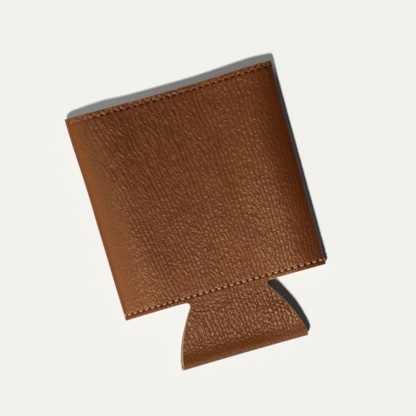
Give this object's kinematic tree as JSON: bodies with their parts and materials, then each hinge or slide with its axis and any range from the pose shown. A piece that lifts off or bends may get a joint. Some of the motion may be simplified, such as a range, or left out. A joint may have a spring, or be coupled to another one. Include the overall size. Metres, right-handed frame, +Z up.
{
  "type": "can cooler sleeve",
  "caption": "Leather can cooler sleeve lying flat: a wrapped tube with a foam lining and a rounded base flap that runs on from the front and folds back under the foot.",
  "frame": {"origin": "middle of the sleeve's underside, on the surface that it lies on, halfway along and across the whole outline with its base flap", "axes": "+Y along the sleeve towards its mouth, +Z up out of the front panel, +X across the sleeve to the right as seen from the front"},
  "size_m": [0.1118, 0.1432, 0.0096],
  "materials": {
    "leather": "satin",
    "foam": "matte"
  },
  "bodies": {
    "root": {"leather_shell": "leather", "lining": "foam"}
  },
  "joints": []
}
